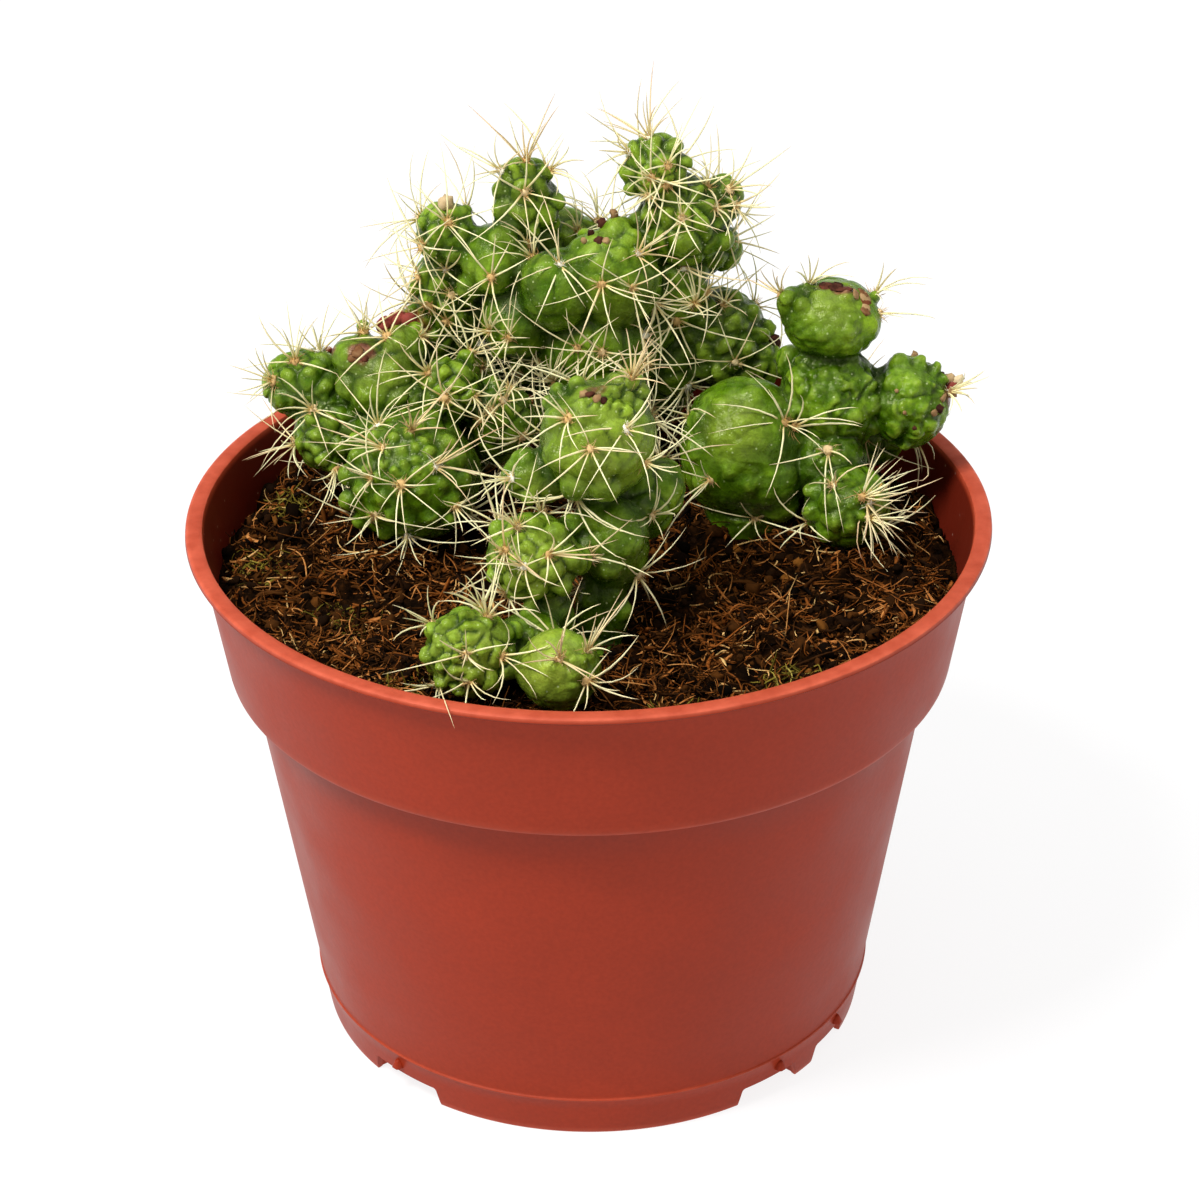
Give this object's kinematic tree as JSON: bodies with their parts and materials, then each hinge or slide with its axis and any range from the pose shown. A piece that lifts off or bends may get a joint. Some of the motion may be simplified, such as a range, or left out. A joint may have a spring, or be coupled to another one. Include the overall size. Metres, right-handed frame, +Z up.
{
  "type": "potted cactus",
  "caption": "Lumpy, long-spined clustering cactus with upright knobbly stems, rooted in peaty mix in a round tapered nursery pot with a rim, deep collar and notched feet.",
  "frame": {"origin": "centre of the circle that the pot's feet stand on, at the height of the surface", "axes": "+Z up along the pot's axis, -Y towards the side with the low front stem, +X to the right seen from there"},
  "size_m": [0.127, 0.127, 0.1458],
  "materials": {
    "pot_plastic": "satin moulded",
    "peat_mix": "crumbly and fibrous",
    "cactus_flesh": "waxy skin with cream spines"
  },
  "bodies": {
    "root": {"pot": "pot_plastic", "potting_mix": "peat_mix", "back_stem": "cactus_flesh", "left_stem": "cactus_flesh", "front_stem": "cactus_flesh", "right_stem": "cactus_flesh"}
  },
  "joints": []
}
